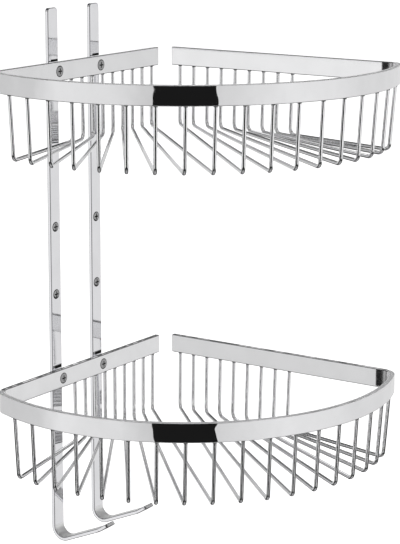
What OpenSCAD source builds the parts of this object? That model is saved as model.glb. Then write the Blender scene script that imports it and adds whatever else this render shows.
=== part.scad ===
// Two-tier corner shower caddy: two flat bars on one wall carry two wire baskets,
// and the foot of each bar turns forward into a hook.
// The origin is the middle of the four fixing holes, on the wall plane.
// +X points away from that wall, +Y along it towards the room's corner, +Z up.

/* [Baskets] */
// Height of the upper basket above the lower one, band to band
basket_rise = 244; // [200:1:300]
// Radius of the curved front, to the middle of the band
front_r = 165; // [136:1:200]
// Distance from each side rail to the centre of the curved front
front_inset = 72; // [60:1:87]
// Depth of the wires below the band, to the middle of the wire
basket_depth = 49; // [35:1:60]

/* [Band] */
// Height of the flat band round each basket
band_h = 15; // [12:0.5:20]
// Thickness of the flat band
band_t = 4; // [3:0.1:6]
// Inside radius of the band's two front corners
band_bend_r = 13; // [1:0.1:20]
// Distance from a rail's end to the middle of the other rail, at the back corner
rail_gap = 9.5; // [6:0.1:14]

/* [Wires] */
// Diameter of a basket wire
wire_d = 3; // [2:0.1:4]
// Radius of a wire's bends, to the middle of the wire
wire_bend_r = 5; // [3:0.1:8]
// Number of wires that start from each rail
wires_per_rail = 9; // [5:1:10]
// Distance from the back corner to the first wire of a rail
first_wire = 17; // [14:0.1:21]
// Distance between neighbouring wires along a rail
wire_pitch = 13.5; // [10:0.1:17]
// Angle between neighbouring wires along the curved front, in degrees
fan_pitch = 7.3; // [5:0.1:8.8]
// How far the foot of a front leg leans in towards the basket
front_lean = 5; // [0:0.1:9]
// How far the foot of a rear leg leans back under its rail
rear_lean = 2; // [0:0.1:3]

/* [Bars] */
// Width of a bar
bar_w = 12; // [10:0.1:16]
// Thickness of a bar
bar_t = 3; // [2.5:0.1:5]
// Distance between the middles of the two bars
bar_spacing = 53; // [42:1:70]
// Distance from the rear bar's middle to the baskets' other rail
corner_distance = 89; // [70:1:110]
// How far the bars stand above the upper band
bar_above = 41; // [20:1:60]
// Radius of the corners at a bar's two ends
bar_corner_r = 3; // [1:0.1:4.8]

/* [Hooks] */
// Distance from the lower band's bottom edge down to the underside of the hooks
hook_drop = 126; // [95:1:160]
// Inside radius of the hook's bend
hook_bend_r = 8; // [5:0.1:14]
// Angle at which the hook's arm rises, in degrees
hook_rise = 23; // [10:0.5:40]
// Length of the hook's arm
hook_arm = 34; // [20:0.5:45]
// Angle by which the hook's tip turns up further, in degrees
tip_turn = 10.5; // [4:0.5:30]
// Inside radius of the turn at the tip
tip_bend_r = 2; // [1:0.1:5]
// Length of the hook's tip
tip_length = 10; // [6:0.5:15]

/* [Fixings] */
// Vertical distance between the two fixing holes of a bar
fixing_spacing = 54; // [40:1:70]
// Height of the middle of the fixing holes above the lower band's bottom edge
fixing_height = 102; // [80:1:125]
// Head diameter of the fixing screws
fixing_head_d = 7.8; // [6:0.1:9]
// Shank diameter of the fixing screws
fixing_shank_d = 4; // [3:0.1:5]
// Head diameter of the screws that hold the baskets
basket_head_d = 8.4; // [6:0.1:9.5]
// Thread diameter of the screws that hold the baskets
basket_thread_d = 4; // [3:0.1:5]
// Clearance of those screws in the bands and the spacers, on the diameter
screw_clearance = 0.3; // [0.1:0.1:0.5]
// Height of every screw head's crown above the face it sits in
head_dome = 0.5; // [0.3:0.1:0.8]
// Thickness of the spacers between the bars and the bands
spacer_t = 2.2; // [1.8:0.1:4]
// Diameter of the spacers
spacer_d = 9; // [7.5:0.1:11]
// How far a screw's end stops short of the wall
end_setback = 0.2; // [0.1:0.1:0.5]
// Length, width and depth of the cross in a screw head
recess = [4.4, 1, 1.5]; // [0.8:0.1:5]

/* [Hidden] */
$fn = 64;
cut_over = 1; // how far a cutting shape runs past what it cuts
bend_seat = 0.2; // how far straight and bent stretches of a wire or a strip run into each other
bend_swell = 0.02; // how much thicker a wire's bends are than its straights, on the radius
bend_trim = 0.02; // how much thinner a strip's bends are than its straights, on every side

head_rim = 0.1; // upright rim between a screw head's cone and its crown

wire_count = 2 * wires_per_rail;
bar_names = ["front", "rear"];
tier_names = ["upper", "lower"];
level_names = ["high", "low"];

// where the pieces stand
bar_y = [-bar_spacing / 2, bar_spacing / 2];
rail_x = bar_t + spacer_t + band_t / 2;
corner_y = bar_y[1] + corner_distance;
lower_z = -fixing_height;
upper_z = lower_z + basket_rise;
tier_z = [upper_z, lower_z];
level_z = [fixing_spacing / 2, -fixing_spacing / 2];
bar_top_z = upper_z + band_h + bar_above;
hook_z = lower_z - hook_drop;

// The turn by which a strip's bend runs on into the straights at its ends
function strip_seat_turn(mid_r) = bend_seat / mid_r * 180 / PI;

// how the band's front corners lie: the corner's bend touches the rail and the front
band_bend_mid = band_bend_r + band_t / 2;
bend_centre = [
    band_bend_mid,
    -front_inset - sqrt(pow(front_r - band_bend_mid, 2) - pow(front_inset - band_bend_mid, 2))
];
rail_end = -bend_centre[1];
front_start = 360 + atan2(bend_centre[1] + front_inset, bend_centre[0] - front_inset);
front_middle = 315;

function two_digits(k) = str(k < 10 ? "0" : "", k);
function wire_name(tier, k) = str(tier, "_wire_", two_digits(k));
function pair_names(first, second, what) = [for (a = first) for (b = second) str(a, "_", b, "_", what)];

// ---- wires ----

// Where wire k meets the rails, counted from the front of the left rail round the back corner
function rear_point(k) = k <= wires_per_rail
    ? [0, -first_wire - (wires_per_rail - k) * wire_pitch]
    : [first_wire + (k - wires_per_rail - 1) * wire_pitch, 0];

// Where wire k meets the curved front
function front_point(k) =
    let (a = front_middle + (k - (wire_count + 1) / 2) * fan_pitch)
    [front_inset + front_r * cos(a), -front_inset + front_r * sin(a)];

// A straight stretch along +Z, which runs a little way into the bends at its ends
module wire_straight(length) {
    translate([0, 0, -bend_seat]) cylinder(h = length + 2 * bend_seat, d = wire_d);
}

// A bend in the XZ plane about the origin, from one angle on by a turn, a hair thicker
// than the straights, so that they end inside it
module wire_bend(from, turn) {
    rotate([90, 0, 0])
        rotate([0, 0, from])
            rotate_extrude(angle = turn)
                translate([wire_bend_r, 0]) circle(d = wire_d + 2 * bend_swell);
}

function leg_slope(lean) = atan(lean / basket_depth);

// Length of a leg from its top end to its bend
function leg_straight(lean) =
    (basket_depth - wire_bend_r * (1 + sin(leg_slope(lean)))) / cos(leg_slope(lean));

// How far in from its top end a leg's bend has its centre
function leg_foot(lean) =
    wire_bend_r * cos(leg_slope(lean)) - leg_straight(lean) * sin(leg_slope(lean));

// One leg and its bend, hanging from the origin: the foot lies out by lean, the floor runs to +X
module wire_leg(lean) {
    intersection() {
        rotate([0, 180 + leg_slope(lean), 0])
            translate([0, 0, -cut_over]) wire_straight(leg_straight(lean) + cut_over);
        translate([-basket_depth, -basket_depth, -2 * basket_depth])
            cube(2 * basket_depth);
    }
    translate([leg_foot(lean), 0, wire_bend_r - basket_depth])
        wire_bend(180 - leg_slope(lean), 90 + leg_slope(lean));
}

// A U of round wire that hangs from the rail and the curved front
module basket_wire(k) {
    rear = rear_point(k);
    run = front_point(k) - rear;
    span = norm(run);
    floor_start = leg_foot(rear_lean);
    floor_end = span - leg_foot(-front_lean);
    color("gainsboro")
        translate([rear[0], rear[1], 0])
            rotate([0, 0, atan2(run[1], run[0])]) {
                wire_leg(rear_lean);
                translate([span, 0, 0]) mirror([1, 0, 0]) wire_leg(-front_lean);
                translate([floor_start, 0, -basket_depth])
                    rotate([0, 90, 0]) wire_straight(floor_end - floor_start);
            }
}

// ---- bands ----

// A stretch of the band that turns about the origin, thinner on every side by trim
module band_bend(mid_r, from, turn, trim = 0) {
    rotate([0, 0, from])
        rotate_extrude(angle = turn)
            translate([mid_r - band_t / 2 + trim, trim])
                square([band_t - 2 * trim, band_h - 2 * trim]);
}

// One rail and the front corner at its end
module band_side() {
    translate([-band_t / 2, -rail_end, 0]) cube([band_t, rail_end - rail_gap, band_h]);
    seat = strip_seat_turn(band_bend_mid);
    translate([bend_centre[0], bend_centre[1], 0])
        band_bend(band_bend_mid, 180 - seat, front_start - 180 + 2 * seat, bend_trim);
}

// The flat band: two rails and a curved front in one strip, open at the back corner
module band() {
    color("silver")
        difference() {
            union() {
                band_side();
                mirror([1, 1, 0]) band_side();
                translate([front_inset, -front_inset, 0])
                    band_bend(front_r, front_start, 2 * (front_middle - front_start));
            }
            for (y = bar_y)
                translate([band_t / 2, y - corner_y, band_h / 2]) {
                    screw_cone(basket_head_d, basket_thread_d);
                    screw_bore(basket_thread_d + screw_clearance, band_t);
                }
        }
}

// ---- screws and spacers, each with its face at X = 0 and its body towards -X ----

module screw_cone(head_d, shank_d) {
    cone = (head_d - shank_d) / 2;
    rotate([0, -90, 0]) cylinder(h = cone, d1 = head_d, d2 = shank_d);
}

module screw_bore(d, length) {
    translate([cut_over, 0, 0])
        rotate([0, -90, 0]) cylinder(h = length + 2 * cut_over, d = d);
}

// A countersunk screw with a low crowned head and a cross recess
module countersunk_screw(head_d, shank_d, length) {
    head_r = head_d / 2;
    shank_r = shank_d / 2;
    rotate([0, 90, 0])
        difference() {
            rotate_extrude()
                polygon([
                    [0, -length], [shank_r, -length], [shank_r, shank_r - head_r],
                    [head_r, 0], [head_r, head_rim], [0.75 * head_r, 0.7 * head_dome],
                    [0.4 * head_r, head_dome], [0, head_dome]
                ]);
            for (turn = [0, 90])
                rotate([0, 0, turn])
                    translate([-recess[0] / 2, -recess[1] / 2, head_dome - recess[2]])
                        cube([recess[0], recess[1], recess[2] + cut_over]);
        }
}

// Holds a band to a bar: through the band and the spacer into the bar's thread
module basket_screw() {
    color("lightgray")
        translate([rail_x + band_t / 2, 0, 0])
            countersunk_screw(basket_head_d, basket_thread_d, rail_x + band_t / 2 - end_setback);
}

// Sits in a bar's fixing hole and ends just inside the back of the bar
module fixing_screw() {
    color("lightgray")
        translate([bar_t, 0, 0])
            countersunk_screw(fixing_head_d, fixing_shank_d, bar_t - end_setback);
}

// Washer that keeps a rail off its bar
module spacer() {
    color("gray")
        translate([bar_t, 0, 0])
            rotate([0, 90, 0])
                difference() {
                    cylinder(h = spacer_t, d = spacer_d);
                    translate([0, 0, -cut_over])
                        cylinder(h = spacer_t + 2 * cut_over, d = basket_thread_d + screw_clearance);
                }
}

// ---- bars: a strip that runs along +X with its inner face up, bend after bend ----

module strip_straight(length) {
    translate([0, -bar_w / 2, -bar_t]) cube([length, bar_w, bar_t]);
    translate([length, 0, 0]) children();
}

module strip_bend(inner_r, turn) {
    seat = strip_seat_turn(inner_r + bar_t / 2);
    translate([0, 0, inner_r]) {
        rotate([90, 0, 0])
            rotate([0, 0, 270 - seat])
                rotate_extrude(angle = turn + 2 * seat)
                    translate([inner_r + bend_trim, bend_trim - bar_w / 2])
                        square([bar_t - 2 * bend_trim, bar_w - 2 * bend_trim]);
        rotate([0, -turn, 0]) translate([0, 0, -inner_r]) children();
    }
}

// The end of a strip, with its two corners rounded
module strip_end(length) {
    translate([0, 0, -bar_t])
        linear_extrude(bar_t) {
            translate([0, -bar_w / 2]) square([length - bar_corner_r, bar_w]);
            translate([0, bar_corner_r - bar_w / 2]) square([length, bar_w - 2 * bar_corner_r]);
            for (side = [-1, 1])
                translate([length - bar_corner_r, side * (bar_w / 2 - bar_corner_r)])
                    circle(r = bar_corner_r);
        }
}

// A flat bar: upright on the wall, with its foot bent forward into a hook
module bar() {
    upright = bar_top_z - hook_z - bar_t - hook_bend_r;
    top_end = 2 * bar_corner_r;
    color("silver")
        difference() {
            translate([bar_t, 0, bar_top_z - top_end])
                rotate([0, 90, 0]) {
                    rotate([0, 0, 180]) strip_end(top_end);
                    strip_straight(upright - top_end)
                        strip_bend(hook_bend_r, 90 + hook_rise)
                            strip_straight(hook_arm)
                                strip_bend(tip_bend_r, tip_turn)
                                    strip_end(tip_length);
                }
            for (z = level_z)
                translate([bar_t, 0, z]) {
                    screw_cone(fixing_head_d, fixing_shank_d);
                    screw_bore(fixing_shank_d, bar_t);
                }
            for (z = tier_z)
                translate([bar_t, 0, z + band_h / 2]) screw_bore(basket_thread_d, bar_t);
        }
}

// ---- the assembly ----

translate([0, bar_y[0], 0]) bar();  // front_bar
translate([0, bar_y[1], 0]) bar();  // rear_bar
translate([rail_x, corner_y, upper_z]) band();  // upper_band
translate([rail_x, corner_y, lower_z]) band();  // lower_band

for (tier = [0, 1]) for (k = [1:wire_count])
    translate([rail_x, corner_y, tier_z[tier]]) basket_wire(k);

for (tier = [0, 1]) for (side = [0, 1])
    translate([0, bar_y[side], tier_z[tier] + band_h / 2]) basket_screw();

for (tier = [0, 1]) for (side = [0, 1])
    translate([0, bar_y[side], tier_z[tier] + band_h / 2]) spacer();

for (level = [0, 1]) for (side = [0, 1])
    translate([0, bar_y[side], level_z[level]]) fixing_screw();
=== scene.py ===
"""Two-tier corner shower caddy in polished chrome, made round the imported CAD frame."""

import math

import bmesh
import bpy
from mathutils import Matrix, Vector


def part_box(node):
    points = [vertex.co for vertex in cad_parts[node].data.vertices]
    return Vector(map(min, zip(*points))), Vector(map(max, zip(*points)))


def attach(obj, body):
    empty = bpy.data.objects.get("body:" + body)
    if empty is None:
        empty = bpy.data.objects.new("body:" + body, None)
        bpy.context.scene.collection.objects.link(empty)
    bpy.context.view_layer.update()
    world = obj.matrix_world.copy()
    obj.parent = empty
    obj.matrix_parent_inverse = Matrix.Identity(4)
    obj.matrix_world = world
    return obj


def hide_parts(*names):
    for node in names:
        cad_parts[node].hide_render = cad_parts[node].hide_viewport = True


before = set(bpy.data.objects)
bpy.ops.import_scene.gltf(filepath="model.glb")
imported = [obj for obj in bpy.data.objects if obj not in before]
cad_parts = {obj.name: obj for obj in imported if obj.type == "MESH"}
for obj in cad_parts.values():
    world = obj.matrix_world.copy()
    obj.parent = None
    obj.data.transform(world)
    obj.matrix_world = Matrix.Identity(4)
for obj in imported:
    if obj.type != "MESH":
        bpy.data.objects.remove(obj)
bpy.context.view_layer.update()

# ---- bars ----
# The two uprights are 12 x 3 mm flat steel bar, cut to length with rounded corners, bent
# cold into a hook at the foot, then polished and chrome plated. Each is drilled and
# countersunk for two wall screws, and drilled twice more for the screws of the baskets.


def deselect_everything():
    bpy.ops.object.select_all(action="DESELECT")


def select_only(piece):
    deselect_everything()
    piece.select_set(True)
    bpy.context.view_layer.objects.active = piece


def shape(piece):
    """Opens the piece for editing, with its place put into its mesh."""
    bpy.ops.object.transform_apply(location=True, rotation=True, scale=True)
    bpy.ops.object.mode_set(mode="EDIT")
    bpy.ops.mesh.select_mode(type="VERT")
    bpy.ops.mesh.select_all(action="SELECT")


def pick(kind, wanted):
    """Selects those faces or edges of the open piece that pass the test, and no others."""
    bpy.ops.mesh.select_mode(type=kind)
    bpy.ops.mesh.select_all(action="DESELECT")
    data = bpy.context.object.data
    mesh = bmesh.from_edit_mesh(data)
    for part in mesh.faces if kind == "FACE" else mesh.edges:
        part.select_set(bool(wanted(part)))
    bmesh.update_edit_mesh(data)


def give_finish(piece, slot):
    """Gives the picked faces of the open piece the finish in that slot."""
    piece.active_material_index = slot
    bpy.ops.object.material_slot_assign()


def pull(way):
    bpy.ops.mesh.extrude_region_move(TRANSFORM_OT_translate={"value": way})


def close_up():
    """Merges doubles, closes the open ends and turns the faces outwards."""
    bpy.ops.mesh.select_all(action="SELECT")
    bpy.ops.mesh.remove_doubles(threshold=tiny)
    bpy.ops.mesh.select_all(action="SELECT")
    bpy.ops.mesh.fill_holes(sides=0)
    bpy.ops.mesh.select_all(action="SELECT")
    bpy.ops.mesh.normals_make_consistent(inside=False)
    bpy.ops.object.mode_set(mode="OBJECT")


def turned(name, rings, place, axis):
    """Turns a piece from rings of (distance along the axis, radius), from end to end."""
    tilt = Vector((0, 0, 1)).rotation_difference(Vector(axis)).to_euler()
    start, radius = rings[0]
    middle = Vector(place) + start * Vector(axis)
    deselect_everything()
    bpy.ops.mesh.primitive_circle_add(
        vertices=48, radius=radius, fill_type="NGON", location=middle, rotation=tilt
    )
    piece = bpy.context.object
    piece.name = name
    shape(piece)
    for along, wide in rings[1:]:
        step = (along - start) * Vector(axis)
        pull(step)
        middle = middle + step
        bpy.ops.transform.resize(value=(wide / radius,) * 3, center_override=middle)
        start, radius = along, wide
    close_up()
    return piece


def cut(piece, cutter, finish):
    """Takes the cutter out of the piece, and gives the cut faces their finish: the near-black
    painted shade of holes and recesses.
    """
    cutter.data.materials.clear()
    cutter.data.materials.append(finish)
    select_only(piece)
    modifier = piece.modifiers.new("cut", "BOOLEAN")
    modifier.object = cutter
    modifier.operation = "DIFFERENCE"
    modifier.solver = "EXACT"
    modifier.material_mode = "TRANSFER"
    bpy.ops.object.modifier_apply(modifier=modifier.name)
    bpy.data.objects.remove(cutter)


def ease_edges(piece, radius):
    """Rounds the sharp edges of a finished shape by a small radius, and marks them as its edges:
    their slot holds a darker colour, a painted dark reflection.
    """
    select_only(piece)
    modifier = piece.modifiers.new("eased", "BEVEL")
    modifier.width = radius
    modifier.segments = 3
    modifier.limit_method = "ANGLE"
    modifier.angle_limit = math.radians(30)
    modifier.material = painted_edge_slot
    bpy.ops.object.modifier_apply(modifier=modifier.name)


def clean_up(piece):
    """Merges the points that bevels and cuts leave on top of each other."""
    select_only(piece)
    bpy.ops.object.mode_set(mode="EDIT")
    bpy.ops.mesh.select_mode(type="VERT")
    bpy.ops.mesh.select_all(action="SELECT")
    bpy.ops.mesh.remove_doubles(threshold=3 * tiny)
    bpy.ops.mesh.select_all(action="SELECT")
    bpy.ops.mesh.dissolve_degenerate(threshold=tiny)
    bpy.ops.object.mode_set(mode="OBJECT")


def polish(piece):
    """Smooths the rounded faces and keeps the flat ones flat, as a mirror shows any error."""
    clean_up(piece)
    bpy.ops.object.shade_smooth_by_angle(angle=math.radians(40))
    modifier = piece.modifiers.new("flats", "WEIGHTED_NORMAL")
    modifier.keep_sharp = True
    modifier.weight = 80
    bpy.ops.object.modifier_apply(modifier=modifier.name)


def copied(piece, name, shift):
    """A copy of a finished piece with its own mesh, moved by the shift."""
    select_only(piece)
    bpy.ops.object.duplicate()
    copy = bpy.context.object
    copy.name = name
    copy.location = shift
    bpy.ops.object.transform_apply(location=True, rotation=True, scale=True)
    return copy


def finished(piece, slot, *nodes):
    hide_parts(*nodes)
    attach(piece, "root")


def plated(name, shade, gloss, dull, ripple_size, ripple_depth):
    """Polished plating: a mirror with faint clouding and the shallow ripples of buffing."""
    material = bpy.data.materials.new(name)
    material.use_nodes = True
    nodes, links = material.node_tree.nodes, material.node_tree.links
    shader = nodes["Principled BSDF"]
    shader.inputs["Metallic"].default_value = 1.0
    place = nodes.new("ShaderNodeTexCoord")
    cloud = nodes.new("ShaderNodeTexNoise")
    cloud.inputs["Scale"].default_value = 60
    cloud.inputs["Detail"].default_value = 4
    links.new(place.outputs["Object"], cloud.inputs["Vector"])
    tone = nodes.new("ShaderNodeValToRGB")
    tone.color_ramp.elements[0].position = 0.35
    tone.color_ramp.elements[0].color = (*[0.965 * s for s in shade], 1)
    tone.color_ramp.elements[1].position = 0.65
    tone.color_ramp.elements[1].color = (*shade, 1)
    links.new(cloud.outputs["Fac"], tone.inputs["Fac"])
    links.new(tone.outputs["Color"], shader.inputs["Base Color"])
    haze = nodes.new("ShaderNodeMapRange")
    haze.inputs["From Min"].default_value = 0.3
    haze.inputs["From Max"].default_value = 0.7
    haze.inputs["To Min"].default_value = gloss
    haze.inputs["To Max"].default_value = dull
    links.new(cloud.outputs["Fac"], haze.inputs["Value"])
    links.new(haze.outputs["Result"], shader.inputs["Roughness"])
    ripple = nodes.new("ShaderNodeTexNoise")
    ripple.inputs["Scale"].default_value = 1 / ripple_size
    ripple.inputs["Detail"].default_value = 1
    links.new(place.outputs["Object"], ripple.inputs["Vector"])
    bump = nodes.new("ShaderNodeBump")
    bump.inputs["Strength"].default_value = 1.0
    bump.inputs["Distance"].default_value = ripple_depth
    links.new(ripple.outputs["Fac"], bump.inputs["Height"])
    links.new(bump.outputs["Normal"], shader.inputs["Normal"])
    return material


tiny = 1e-6
painted_edge_slot = 1
hook_slot = 2
bar_thick = 0.003
bar_corner = 0.003
hook_inner = 0.008
hook_turn = math.radians(113)
hook_arm = 0.034
tip_inner = 0.002
tip_turn = math.radians(10.5)
tip_length = 0.010
bar_ease = 0.0005
bore = 0.0020
past = 0.001
fixing_head = 0.0034
seat = 0.0005
# Holes, countersinks and cross recesses are coloured near black, as painted shade inside them.
painted_recess_shade = plated("painted recess shade", (0.05, 0.05, 0.05), 0.35, 0.55, 0.002, 0.00001)
# The eased edges of the bars are coloured dark grey, as a painted dark reflection of the room round
# them.
bar_edge_painted_reflection = plated("bar edges painted reflection", (0.36, 0.36, 0.38), 0.06, 0.12, 0.030, 0.00003)
hook_chrome = plated("hook chrome", (0.98, 0.98, 0.98), 0.36, 0.42, 0.030, 0.00003)
bar_chrome = plated("bar chrome", (0.91, 0.91, 0.93), 0.03, 0.06, 0.030, 0.00003)


def screw_height(name):
    """The height of the middle of a screw, from its box in the CAD."""
    return sum(p.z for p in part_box(name)) / 2


def sunk_hole(thick, hole, head):
    """The rings of the cutter for a countersunk hole, which stands past both faces."""
    wide = head + seat
    return [
        (-past, hole),
        (thick - (wide - bore), hole),
        (thick, wide),
        (thick + past, wide + past),
    ]


def heading(turn):
    """The way the strip runs once it has turned forward from straight down."""
    return Vector((math.sin(turn), 0, -math.cos(turn)))


def inward(turn):
    """From the strip's inner face towards the middle of its bend."""
    return Vector((math.cos(turn), 0, math.sin(turn)))


fixing_heights = [screw_height(f"{level}_front_fixing_screw") for level in ("high", "low")]
basket_heights = [screw_height(f"{tier}_front_basket_screw") for tier in ("upper", "lower")]
low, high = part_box("front_bar")
bar_y = (low.y + high.y) / 2
hook_middle = Vector((bar_thick + hook_inner, bar_y, low.z + bar_thick + hook_inner))
arm_end = hook_middle - hook_inner * inward(hook_turn) + hook_arm * heading(hook_turn)
tip_middle = arm_end + tip_inner * inward(hook_turn)
tip_way = heading(hook_turn + tip_turn)
tip_end = tip_middle - tip_inner * inward(hook_turn + tip_turn) + tip_length * tip_way

deselect_everything()
bpy.ops.mesh.primitive_plane_add(size=1, location=(bar_thick / 2, bar_y, high.z))
front_bar = bpy.context.object
front_bar.name = "chrome_front_bar"
front_bar.scale = (bar_thick, high.y - low.y, 1)
for finish in (bar_chrome, bar_edge_painted_reflection, hook_chrome):
    front_bar.data.materials.append(finish)
shape(front_bar)
bpy.ops.mesh.delete(type="ONLY_FACE")
bpy.ops.mesh.select_all(action="SELECT")
pull((0, 0, hook_middle.z - high.z))
bpy.ops.mesh.spin(steps=20, angle=hook_turn, center=hook_middle, axis=(0, 1, 0))
pull(hook_arm * heading(hook_turn))
bpy.ops.mesh.spin(steps=3, angle=tip_turn, center=tip_middle, axis=(0, 1, 0))
pull(tip_length * tip_way)
close_up()


def across_an_end(edge):
    """The short edges through the thickness, at the top of the bar and at the tip of its hook."""
    a, b = (v.co for v in edge.verts)
    return abs(a.y - b.y) < tiny and (
        min(a.z, b.z) > high.z - tiny
        or all(abs((p - tip_end).dot(tip_way)) < tiny for p in (a, b))
    )


def on_the_hook(face):
    """The flat faces of the bend and of the hook in front of it, but not the strip's sides."""
    middle = face.calc_center_median()
    return abs(face.normal.y) < 0.5 and (middle.z < hook_middle.z or middle.x > hook_middle.x)


bpy.ops.object.mode_set(mode="EDIT")
pick("EDGE", across_an_end)
bpy.ops.mesh.bevel(offset=bar_corner, segments=8, affect="EDGES")
pick("FACE", on_the_hook)
give_finish(front_bar, hook_slot)
bpy.ops.object.mode_set(mode="OBJECT")
ease_edges(front_bar, bar_ease)
sunk = sunk_hole(bar_thick, bore, fixing_head)
plain = [(-past, bore), (bar_thick + past, bore)]
for z in fixing_heights:
    cut(front_bar, turned("hole", sunk, (0, bar_y, z), (1, 0, 0)), painted_recess_shade)
for z in basket_heights:
    cut(front_bar, turned("hole", plain, (0, bar_y, z), (1, 0, 0)), painted_recess_shade)
polish(front_bar)
to_the_rear = Vector((0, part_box("rear_bar")[0].y - low.y, 0))
rear_bar = copied(front_bar, "chrome_rear_bar", to_the_rear)
finished(front_bar, "chrome_bar", "front_bar")
finished(rear_bar, "chrome_bar", "rear_bar")

# ---- bands ----
# Each basket hangs in a band of 15 x 4 mm flat bar, bent into two straight rails and a
# curved front, with rounded front corners and its ends left apart at the back. It is plated
# and polished as the bars are, with duller inside faces.

band_thick = 0.004
band_height = 0.015
front_radius = 0.165
front_inset = 0.072
corner_radius = 0.015
rail_gap = 0.0095
band_ease = 0.0006
basket_head = 0.0039
basket_hole = bore + 0.00015
inside_slot = 2
front_edge_slot = 3
rail_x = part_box("upper_band")[0].x + band_thick / 2
corner_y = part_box("upper_band")[1].y - band_thick / 2
reach = math.sqrt((front_radius - corner_radius) ** 2 - (front_inset - corner_radius) ** 2)
# The eased edges of the bands are coloured dark grey, as a painted dark reflection; on the rails
# they stay so.
band_edge_painted_reflection = plated("band edges painted reflection", (0.34, 0.34, 0.35), 0.06, 0.12, 0.035, 0.00004)
band_chrome = plated("band chrome", (0.90, 0.90, 0.91), 0.015, 0.04, 0.016, 0.0004)
band_inside = plated("band inside", (0.97, 0.97, 0.98), 0.17, 0.22, 0.016, 0.00004)
band_front_edge = plated("band front edge", (0.95, 0.95, 0.96), 0.30, 0.38, 0.035, 0.00004)

band_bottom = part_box("upper_band")[0].z
band_middle = band_bottom + band_height / 2
corner = Vector((rail_x, corner_y, band_middle))
near_bend = corner + Vector((corner_radius, -front_inset - reach, 0))
far_bend = corner + Vector((front_inset + reach, -corner_radius, 0))
front_middle = corner + Vector((front_inset, -front_inset, 0))
bend_turn = math.atan2(near_bend.y - front_middle.y, near_bend.x - front_middle.x) + math.pi
front_turn = math.radians(270) - 2 * bend_turn

deselect_everything()
bpy.ops.mesh.primitive_plane_add(
    size=1, location=corner + Vector((0, -rail_gap, 0)), rotation=(math.pi / 2, 0, 0)
)
upper_band = bpy.context.object
upper_band.name = "chrome_upper_band"
upper_band.scale = (band_thick, band_height, 1)
for finish in (band_chrome, band_edge_painted_reflection, band_inside, band_front_edge):
    upper_band.data.materials.append(finish)
shape(upper_band)
bpy.ops.mesh.delete(type="ONLY_FACE")
bpy.ops.mesh.select_all(action="SELECT")
pull((0, near_bend.y - corner.y + rail_gap, 0))
bpy.ops.mesh.spin(steps=20, angle=bend_turn, center=near_bend, axis=(0, 0, -1))
bpy.ops.mesh.spin(steps=72, angle=front_turn, center=front_middle, axis=(0, 0, -1))
bpy.ops.mesh.spin(steps=20, angle=bend_turn, center=far_bend, axis=(0, 0, -1))
pull((corner.x + rail_gap - far_bend.x, 0, 0))
close_up()


def inside(face):
    """The upright faces that look into the basket."""
    towards = front_middle - face.calc_center_median()
    return abs(face.normal.z) < 0.5 and face.normal.dot(towards) > 0


def front_edge(face):
    """The eased edges and the top of the curved front."""
    away = (face.calc_center_median() - front_middle).xy.length
    eased = face.material_index == painted_edge_slot
    return (eased or face.normal.z > 0.9) and away > front_radius - band_thick


bpy.ops.object.mode_set(mode="EDIT")
pick("FACE", inside)
give_finish(upper_band, inside_slot)
bpy.ops.object.mode_set(mode="OBJECT")
ease_edges(upper_band, band_ease)
# The eased edges of the curved front then get a light, duller finish; those of the rails keep the
# painted dark reflection.
bpy.ops.object.mode_set(mode="EDIT")
pick("FACE", front_edge)
give_finish(upper_band, front_edge_slot)
bpy.ops.object.mode_set(mode="OBJECT")
sunk = sunk_hole(band_thick, basket_hole, basket_head)
for y in (bar_y, bar_y + to_the_rear.y):
    rail_back = (rail_x - band_thick / 2, y, band_middle)
    cut(upper_band, turned("hole", sunk, rail_back, (1, 0, 0)), painted_recess_shade)
polish(upper_band)
to_the_lower = Vector((0, 0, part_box("lower_band")[0].z - band_bottom))
lower_band = copied(upper_band, "chrome_lower_band", to_the_lower)
finished(upper_band, "chrome_band", "upper_band")
finished(lower_band, "chrome_band", "lower_band")

# ---- wires ----
# Eighteen 3 mm round wires cross each basket. Each is bent into a U, its two ends butted
# up under the band and brazed there, which leaves a small flared neck. They spread from the
# two rails to the curved front, so that no two have the same length.

wire_radius = 0.0015
wire_bend = 0.005
wires_per_rail = 9
first_wire = 0.017
wire_pitch = 0.0135
fan_pitch = math.radians(7.3)
basket_depth = 0.049
leg_length = 1.1 * basket_depth
rear_lean = math.atan(0.002 / basket_depth)
front_lean = math.atan(0.005 / basket_depth)
shaded_neck_slot = 1
neck_height = 0.0014
neck_rings = [(0.0008, 1.0), (0.0003, 1.03), (0.0002, 1.07), (0.00025, 1.06)]
# The necks are coloured dark grey, as painted shade where the wire meets the band.
wire_neck_painted_shade = plated("wire necks painted shade", (0.25, 0.25, 0.25), 0.10, 0.20, 0.003, 0.00002)
wire_chrome = plated("wire chrome", (0.86, 0.86, 0.87), 0.02, 0.05, 0.012, 0.00002)


def leg(floor_x, lean, way):
    """Spins the open end up from the floor and runs it on past the band, leaning by its angle."""
    turn = math.pi / 2 - way * lean
    bpy.ops.mesh.spin(
        steps=8,
        angle=turn,
        center=(floor_x, 0, wire_bend - basket_depth),
        axis=(0, way, 0),
    )
    pull((math.sin(lean) * leg_length, 0, math.cos(lean) * leg_length))


def foot(lean, way):
    """How far in from the top of a leg its bend has its middle."""
    rise = (basket_depth - wire_bend * (1 - way * math.sin(lean))) / math.cos(lean)
    return wire_bend * math.cos(lean) + way * rise * math.sin(lean)


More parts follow.
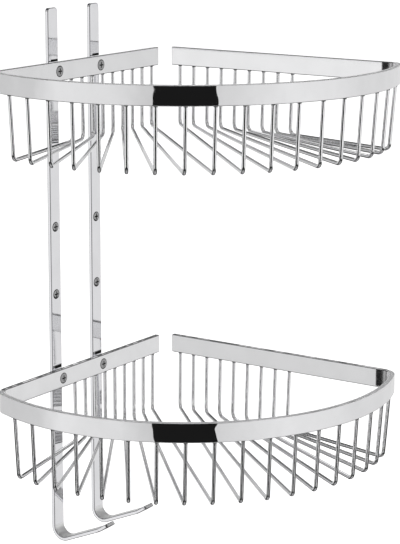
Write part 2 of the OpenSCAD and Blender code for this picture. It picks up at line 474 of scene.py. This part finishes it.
for k in range(1, 2 * wires_per_rail + 1):
    if k <= wires_per_rail:
        rear = Vector((0, -first_wire - (wires_per_rail - k) * wire_pitch, 0))
    else:
        rear = Vector((first_wire + (k - wires_per_rail - 1) * wire_pitch, 0, 0))
    around = math.radians(315) + (k - wires_per_rail - 0.5) * fan_pitch
    front = Vector((front_inset, -front_inset, 0)) + front_radius * Vector(
        (math.cos(around), math.sin(around), 0)
    )
    run = front - rear
    floor_start = foot(rear_lean, -1)
    floor_end = run.length - foot(front_lean, 1)
    deselect_everything()
    bpy.ops.mesh.primitive_circle_add(
        vertices=24,
        radius=wire_radius,
        location=(floor_start, 0, -basket_depth),
        rotation=(0, math.pi / 2, 0),
    )
    wire = bpy.context.object
    wire.name = f"chrome_upper_wire_{k:02d}"
    wire.data.materials.append(wire_chrome)
    wire.data.materials.append(wire_neck_painted_shade)
    shape(wire)
    pull((floor_end - floor_start, 0, 0))
    leg(floor_end, front_lean, 1)
    pick("EDGE", lambda e: all(abs(v.co.x - floor_start) < tiny for v in e.verts))
    leg(floor_start, rear_lean, -1)
    bpy.ops.mesh.select_all(action="SELECT")
    bpy.ops.mesh.bisect(
        plane_co=(0, 0, -neck_height), plane_no=(0, 0, 1), use_fill=True, clear_outer=True
    )
    for lean, in_the_middle in ((rear_lean, 0), (front_lean, run.length)):
        pick(
            "FACE",
            lambda f: abs(f.normal.z) > 0.99
            and f.calc_center_median().z > -neck_height - tiny
            and abs(f.calc_center_median().x - in_the_middle) < wire_radius,
        )
        z = -neck_height
        for rise, flare in neck_rings:
            pull((rise * math.tan(lean), 0, rise))
            z += rise
            bpy.ops.transform.resize(
                value=(flare, flare, 1),
                center_override=(in_the_middle + z * math.tan(lean), 0, z),
            )
    # The neck faces take that painted shade.
    pick("FACE", lambda f: f.calc_center_median().z > -neck_height / 2)
    give_finish(wire, shaded_neck_slot)
    close_up()
    bpy.ops.object.shade_smooth_by_angle(angle=math.radians(40))
    wire.rotation_euler = (0, 0, math.atan2(run.y, run.x))
    wire.location = rear + Vector((rail_x, corner_y, band_bottom))
    bpy.ops.object.transform_apply(location=True, rotation=True, scale=True)
    lower = copied(wire, f"chrome_lower_wire_{k:02d}", to_the_lower)
    finished(wire, "chrome_wire", f"upper_wire_{k:02d}")
    finished(lower, "chrome_wire", f"lower_wire_{k:02d}")

# ---- screws ----
# Steel machine screws with low crowned countersunk heads and a cross recess. Four hold the
# bands to the bars, and four shorter ones close the bars' fixing holes. They are turned,
# their threads rolled, and the recess is punched with sides that taper inwards.

head_crown = 0.0005
head_rim = 0.0001
head_break = 0.00005
head_profile = [
    (0.22 * head_crown + head_rim, 0.94),
    (0.6 * head_crown, 0.80),
    (0.85 * head_crown, 0.60),
    (0.96 * head_crown, 0.35),
    (head_crown, 0.10),
]
end_gap = 0.0002
thread_depth = 0.0003
thread_crest = 0.0001
thread_pitch = 0.0007
thread_room = 0.0009
recess_length = 0.0046
recess_width = 0.00105
recess_parallel = 0.0011
recess_tapered = 0.0014
recess_point = (1, 0.55, 0.45)
screw_steel = plated("screw steel", (0.40, 0.40, 0.405), 0.08, 0.18, 0.004, 0.00001)


def cross_punch(face_x, y, z):
    """The punch for a cross recess: two tapered blades, set into the crown of a head."""
    deselect_everything()
    bpy.ops.mesh.primitive_plane_add(
        size=1, location=(face_x + past, y, z), rotation=(0, math.pi / 2, 0)
    )
    blade = bpy.context.object
    blade.scale = (recess_length, recess_width, 1)
    shape(blade)
    pull((-recess_parallel, 0, 0))
    pull((-recess_tapered, 0, 0))
    bpy.ops.transform.resize(value=recess_point, center_override=(0, y, z))
    close_up()
    bpy.ops.object.duplicate()
    other = bpy.context.object
    bpy.ops.object.mode_set(mode="EDIT")
    bpy.ops.mesh.select_all(action="SELECT")
    bpy.ops.transform.rotate(value=math.pi / 2, orient_axis="X", center_override=(0, y, z))
    bpy.ops.object.mode_set(mode="OBJECT")
    return blade, other


def screw(name, face_x, y, z, head_radius, shank_radius):
    """A screw along the wall's normal, from its end in the bar to its crowned head."""
    root = shank_radius - thread_depth
    throat = face_x - (head_radius - shank_radius)
    along = end_gap + thread_depth
    rings = [(end_gap, root - thread_depth), (along, root)]
    while along + thread_room < throat:
        rings += [
            (along + thread_depth, shank_radius),
            (along + thread_depth + thread_crest, shank_radius),
            (along + thread_pitch, root),
        ]
        along += thread_pitch
    rings += [
        (throat, shank_radius),
        (face_x - head_break, head_radius - head_break),
        (face_x, head_radius),
        (face_x + head_rim, head_radius),
    ]
    rings += [(face_x + rise, share * head_radius) for rise, share in head_profile]
    piece = turned(name, rings, (0, y, z), (1, 0, 0))
    piece.data.materials.append(screw_steel)
    # The cross recess is cut with the near-black painted shade.
    for blade in cross_punch(face_x, y, z):
        cut(piece, blade, painted_recess_shade)
    clean_up(piece)
    bpy.ops.object.shade_smooth_by_angle(angle=math.radians(35))
    return piece


def spread(first, slot, kind, tiers, down):
    """Copies a piece to the other height and to the rear bar, and finishes all four."""
    for side, back in (("front", here), ("rear", to_the_rear)):
        for tier, drop in zip(tiers, (here, down)):
            node = f"{tier}_{side}_{kind}"
            piece = first
            if back + drop != here:
                piece = copied(first, f"steel_{node}", back + drop)
            finished(piece, slot, node)


here = Vector((0, 0, 0))
to_the_low = Vector((0, 0, fixing_heights[1] - fixing_heights[0]))
rail_face = rail_x + band_thick / 2
basket_screw = screw(
    "steel_upper_front_basket_screw", rail_face, bar_y, basket_heights[0], basket_head, bore
)
fixing_screw = screw(
    "steel_high_front_fixing_screw", bar_thick, bar_y, fixing_heights[0], fixing_head, bore
)
spread(basket_screw, "screw_steel", "basket_screw", ("upper", "lower"), to_the_lower)
spread(fixing_screw, "screw_steel", "fixing_screw", ("high", "low"), to_the_low)

# ---- spacers ----
# A turned steel washer stands on each basket screw between the bar and the rail. It keeps
# the rail off the bar, and its two outer edges are chamfered.

spacer_radius = 0.0045
spacer_chamfer = 0.0003
spacer_steel = plated("spacer steel", (0.52, 0.525, 0.53), 0.10, 0.20, 0.003, 0.00001)
spacer_end = rail_x - band_thick / 2

spacer_rings = [
    (bar_thick, spacer_radius - spacer_chamfer),
    (bar_thick + spacer_chamfer, spacer_radius),
    (spacer_end - spacer_chamfer, spacer_radius),
    (spacer_end, spacer_radius - spacer_chamfer),
]
spacer_middle = (0, bar_y, basket_heights[0])
spacer = turned("steel_upper_front_spacer", spacer_rings, spacer_middle, (1, 0, 0))
spacer.data.materials.append(spacer_steel)
through = [(bar_thick - past, basket_hole), (spacer_end + past, basket_hole)]
cut(spacer, turned("hole", through, spacer_middle, (1, 0, 0)), painted_recess_shade)
clean_up(spacer)
bpy.ops.object.shade_smooth_by_angle(angle=math.radians(35))
spread(spacer, "spacer_steel", "spacer", ("upper", "lower"), to_the_lower)

# ---- studio ----
# A plain pale floor lies under broad soft light from all round. A dark screen stands by
# the camera, as chrome needs something dark to show its form.

view_way = Vector((0.5518, -0.8110, 0.1947)).normalized()
view_middle = Vector((0.0773, 0.0457, 0.0207))
view_distance = 1.564
floor_z = -0.95

pale = bpy.data.materials.new("pale floor")
pale.use_nodes = True
pale_inputs = pale.node_tree.nodes["Principled BSDF"].inputs
pale_inputs["Base Color"].default_value = (0.92, 0.92, 0.92, 1)
pale_inputs["Roughness"].default_value = 0.9
pale_inputs["Emission Color"].default_value = (1, 1, 1, 1)
pale_inputs["Emission Strength"].default_value = 0.8

deselect_everything()
bpy.ops.mesh.primitive_plane_add(size=80, location=(0, 0, floor_z))
floor = bpy.context.object
floor.name = "studio_floor"
shape(floor)
bpy.ops.object.mode_set(mode="OBJECT")
floor.data.materials.append(pale)
floor.visible_glossy = False


def screen_paint(name, shade):
    """Paint of an even shade on one side, seen only by the first reflection of a view ray."""
    paint = bpy.data.materials.new(name)
    paint.use_nodes = True
    nodes, links = paint.node_tree.nodes, paint.node_tree.links
    nodes.clear()
    matt = nodes.new("ShaderNodeEmission")
    matt.inputs["Color"].default_value = (shade, shade, shade, 1)
    clear = nodes.new("ShaderNodeBsdfTransparent")
    path = nodes.new("ShaderNodeLightPath")
    seen = nodes.new("ShaderNodeMath")
    seen.operation = "COMPARE"
    seen.inputs[1].default_value = first_bounce
    seen.inputs[2].default_value = 0.5
    links.new(path.outputs["Ray Depth"], seen.inputs[0])
    side = nodes.new("ShaderNodeNewGeometry")
    in_front = nodes.new("ShaderNodeMath")
    in_front.operation = "SUBTRACT"
    in_front.use_clamp = True
    links.new(seen.outputs["Value"], in_front.inputs[0])
    links.new(side.outputs["Backfacing"], in_front.inputs[1])
    mix = nodes.new("ShaderNodeMixShader")
    links.new(in_front.outputs["Value"], mix.inputs["Fac"])
    links.new(clear.outputs["BSDF"], mix.inputs[1])
    links.new(matt.outputs["Emission"], mix.inputs[2])
    out = nodes.new("ShaderNodeOutputMaterial")
    links.new(mix.outputs["Shader"], out.inputs["Surface"])
    return paint


def screen(name, place, faces, width, height, paint):
    """A flat screen that only reflections see."""
    deselect_everything()
    bpy.ops.mesh.primitive_plane_add(size=1, location=place)
    panel = bpy.context.object
    panel.name = name
    panel.rotation_euler = Vector(faces).to_track_quat("Z", "Y").to_euler()
    panel.scale = (width, height, 1)
    bpy.ops.object.transform_apply(location=True, rotation=True, scale=True)
    panel.data.materials.append(paint)
    panel.visible_camera = False
    panel.visible_diffuse = False
    panel.visible_shadow = False


first_bounce = 1
flat_way = Vector((view_way.x, view_way.y, 0)).normalized()
across = Vector((-flat_way.y, flat_way.x, 0))
black = screen_paint("black screen", 0.011)
screen_distance = 1.6
screen_shift = 0.024
screen_drop = Vector((0, 0, -0.35))
screen_width = 0.89
screen_height = 1.4
place = view_middle + screen_distance * flat_way - screen_shift * across + screen_drop
screen("studio_screen", place, -flat_way, screen_width, screen_height, black)

# Two black cards with a white strip on either side stand nearer, for the upright wires to
# mirror as dark and bright lines. (tier, foot and top of the card, its width)
near_distance = 0.36
near_place = view_middle + near_distance * flat_way
strip_width = 0.06
white = screen_paint("white screen", 2.2)
for tier, foot_z, top_z, wide in (("upper", -0.06, 0.070, 0.42), ("lower", -0.38, -0.21, 0.36)):
    middle = Vector((near_place.x, near_place.y, (foot_z + top_z) / 2))
    tall = top_z - foot_z
    screen(f"studio_{tier}_card", middle, -flat_way, wide, tall, black)
    for side, way in (("left", -1), ("right", 1)):
        place = middle + way * (wide / 2 + strip_width / 2) * across
        screen(f"studio_{tier}_{side}_strip", place, -flat_way, strip_width, tall, white)

# A pale card stands just off the inner face of each rail, and gives it an even tone.
# (tier, rail, brightness)
card_stand = band_thick / 2 + 0.006
card_along = 0.11
card_length = 0.23
card_drop = 0.002
rail_cards = [
    ("upper", "left", 0.69),
    ("upper", "right", 0.84),
    ("lower", "left", 0.73),
    ("lower", "right", 0.67),
]
for tier, rail, shade in rail_cards:
    paint = screen_paint(f"{tier} {rail} card", shade)
    z = band_middle - card_drop + (to_the_lower.z if tier == "lower" else 0)
    if rail == "left":
        place, faces = (rail_x + card_stand, corner_y - card_along, z), (-1, 0, 0)
    else:
        place, faces = (rail_x + card_along, corner_y - card_stand, z), (0, 1, 0)
    screen(f"studio_{tier}_{rail}_card", place, faces, card_length, band_height, paint)

# A dark blade stands by the right rail's end in front of the corner, for the rail to mirror.
blade_stand = band_thick / 2 + 0.003
blade_before_bend = 0.0035
corner_blade_width = 0.0055
for tier, z in zip(("upper", "lower"), basket_heights):
    place = (far_bend.x - blade_before_bend, corner_y - blade_stand, z)
    screen(f"studio_{tier}_corner_blade", place, (0, 1, 0), corner_blade_width, band_height, black)

# Another lies in the gap behind each rail at each bar, for the bars to mirror: a near-black sheet
# that stands in for the shade in that gap, a painted shade.
blade = screen_paint("painted gap shade", 0.01)
off_the_rail = 0.0002
past_the_bar = 0.006
under_the_top = 0.0001
gap_blade_width = 0.013
gap_blade_height = 0.0022
for side, y in (("front", bar_y), ("rear", bar_y + to_the_rear.y)):
    for tier, z in zip(("upper", "lower"), basket_heights):
        place = (
            spacer_end - off_the_rail,
            y + past_the_bar,
            z + band_height / 2 - under_the_top,
        )
        name = f"studio_{tier}_{side}_blade"
        screen(name, place, (-1, 0, 0), gap_blade_width, gap_blade_height, blade)

# The light comes from a bright belt round the horizon and a ring overhead, with darker bands
# between them for the bright metal to mirror. (height as a sine, brightness)
bands_of_light = [
    (-1.0, 0.50),
    (-0.84, 0.50),
    (-0.80, 0.04),
    (-0.42, 0.04),
    (-0.39, 1.0),
    (0.168, 1.0),
    (0.18, 0.15),
    (0.27, 0.15),
    (0.285, 1.0),
    (0.35, 1.0),
    (0.36, 0.04),
    (0.49, 0.04),
    (0.50, 2.2),
    (0.55, 2.2),
    (0.57, 0.04),
    (0.80, 0.04),
    (0.83, 1.0),
    (1.0, 1.0),
]


def set_stops(ramp, stops):
    """Sets a colour ramp to grey stops of (position, brightness)."""
    while len(ramp.elements) < len(stops):
        ramp.elements.new(0.5)
    for stop, (position, level) in zip(ramp.elements, stops):
        stop.position = position
        stop.color = (level, level, level, 1)


world = bpy.data.worlds.new("soft light")
world.use_nodes = True
nodes, links = world.node_tree.nodes, world.node_tree.links
sky = nodes["Background"]
ray = nodes.new("ShaderNodeTexCoord")
height = nodes.new("ShaderNodeSeparateXYZ")
links.new(ray.outputs["Generated"], height.inputs["Vector"])
share = nodes.new("ShaderNodeMapRange")
share.inputs["From Min"].default_value = -1
share.inputs["From Max"].default_value = 1
links.new(height.outputs["Z"], share.inputs["Value"])
belt = nodes.new("ShaderNodeValToRGB")
set_stops(belt.color_ramp, [((sine + 1) / 2, level) for sine, level in bands_of_light])
links.new(share.outputs["Result"], belt.inputs["Fac"])
# Round the object the light varies, as it does between soft panels. (degrees from the side of
# the camera, brightness)
panels_of_light = [
    (-180, 0.78),
    (-118, 0.64),
    (-87, 0.68),
    (-70, 0.86),
    (-58, 0.83),
    (-36, 0.80),
    (-19, 0.66),
    (22, 0.73),
    (53, 0.87),
    (81, 0.85),
    (104, 0.77),
    (125, 0.76),
    (180, 0.78),
]
turn = nodes.new("ShaderNodeMapping")
turn.inputs["Rotation"].default_value = (0, 0, -math.atan2(flat_way.y, flat_way.x))
links.new(ray.outputs["Generated"], turn.inputs["Vector"])
compass = nodes.new("ShaderNodeTexGradient")
compass.gradient_type = "RADIAL"
links.new(turn.outputs["Vector"], compass.inputs["Vector"])
round_about = nodes.new("ShaderNodeValToRGB")
set_stops(
    round_about.color_ramp,
    [(degrees / 360 + 0.5, level) for degrees, level in panels_of_light],
)
links.new(compass.outputs["Fac"], round_about.inputs["Fac"])
scaled = nodes.new("ShaderNodeVectorMath")
scaled.operation = "MULTIPLY"
links.new(belt.outputs["Color"], scaled.inputs[0])
links.new(round_about.outputs["Color"], scaled.inputs[1])
seen = nodes.new("ShaderNodeLightPath")
plain = nodes.new("ShaderNodeMix")
plain.data_type = "RGBA"
plain.inputs["B"].default_value = (1, 1, 1, 1)
links.new(seen.outputs["Is Camera Ray"], plain.inputs["Factor"])
links.new(scaled.outputs["Vector"], plain.inputs["A"])
links.new(plain.outputs["Result"], sky.inputs["Color"])
sky.inputs["Strength"].default_value = 1.0
bpy.context.scene.world = world

lamp_place = Vector((1.0, -0.6, 2.6))
lamp = bpy.data.lights.new("overhead", "AREA")
lamp.shape = "SQUARE"
lamp.size = 1.6
lamp.energy = 40
light = bpy.data.objects.new("overhead", lamp)
bpy.context.scene.collection.objects.link(light)
light.location = lamp_place
light.visible_glossy = False
light.rotation_euler = (view_middle - lamp_place).to_track_quat("-Z", "Y").to_euler()

camera_data = bpy.data.cameras.new("camera")
camera_data.lens = 130.7
camera_data.sensor_width = 36
camera_data.shift_x = 0.0259
camera_data.shift_y = -0.0767
camera = bpy.data.objects.new("camera", camera_data)
bpy.context.scene.collection.objects.link(camera)
camera.location = view_middle + view_distance * view_way
camera.rotation_euler = (-view_way).to_track_quat("-Z", "Y").to_euler()
bpy.context.scene.camera = camera
bpy.context.scene.view_settings.view_transform = "Standard"
